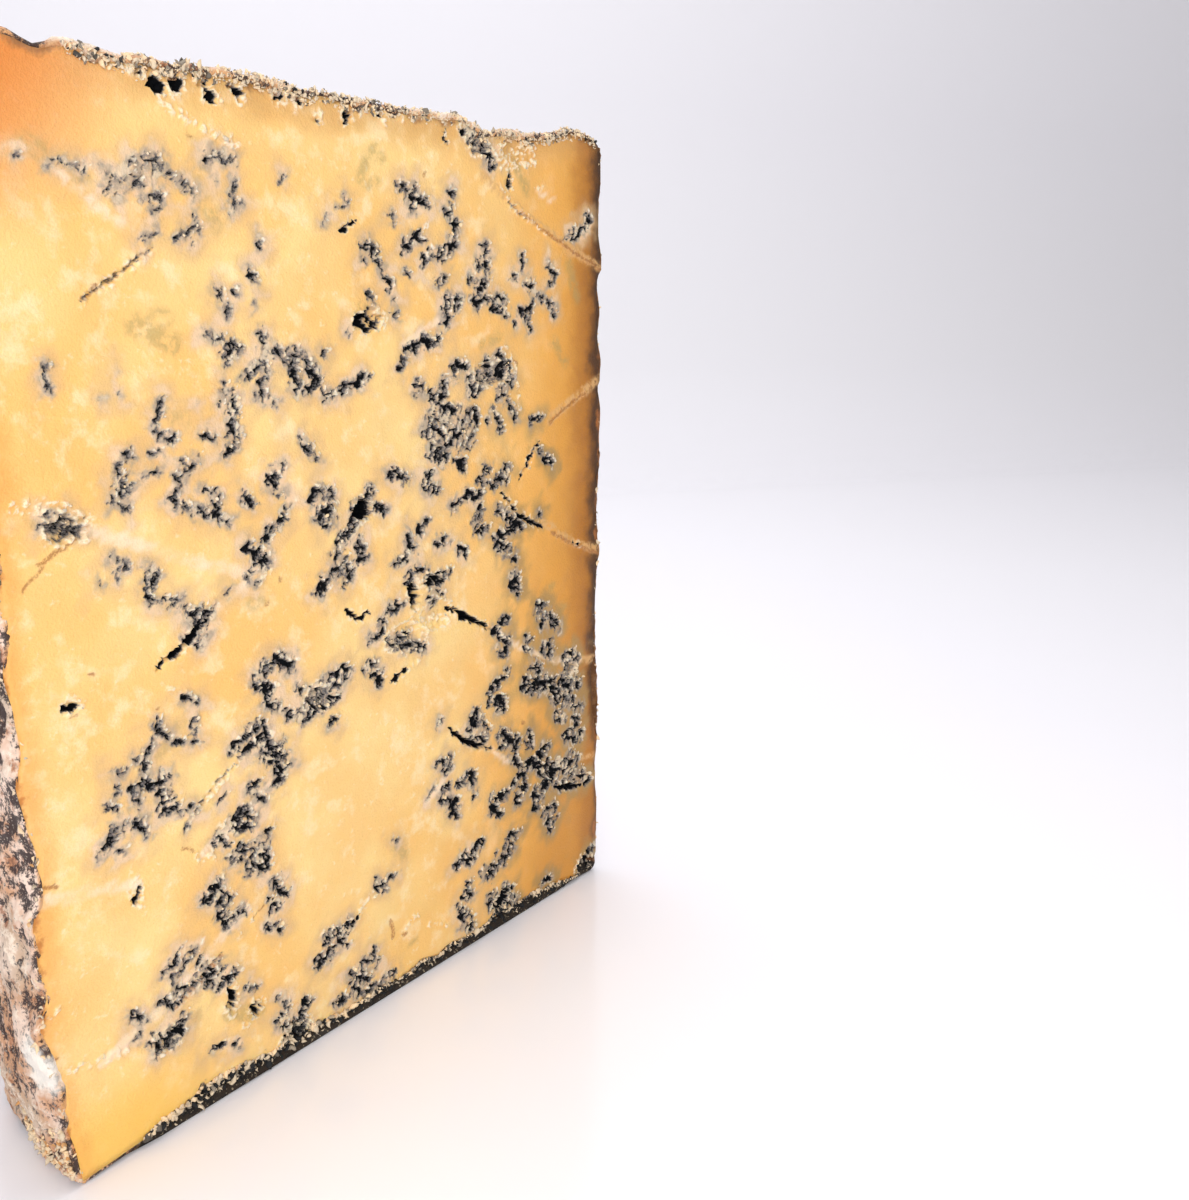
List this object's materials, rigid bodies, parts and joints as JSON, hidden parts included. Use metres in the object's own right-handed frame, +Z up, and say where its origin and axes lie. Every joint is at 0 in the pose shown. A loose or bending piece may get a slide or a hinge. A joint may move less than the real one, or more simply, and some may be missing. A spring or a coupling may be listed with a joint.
{
  "type": "stilton half wheel",
  "caption": "Half of a tall blue cheese wheel, cut down through its axis and standing on its flat end: golden paste with blue-black veins, craggy rind behind.",
  "frame": {"origin": "on the table, under the middle of the piece's bounding box", "axes": "+Z up along the wheel's axis, the cut face looks along -Y, and +X runs along the cut face to its far edge, right in a view of that face"},
  "size_m": [0.209, 0.1062, 0.2467],
  "materials": {
    "cheese": "golden, moist, crumbly cheese paste with blue-black veins, and a mottled brown, grey and cream rind"
  },
  "bodies": {
    "root": {"cheese": "cheese"}
  },
  "joints": []
}
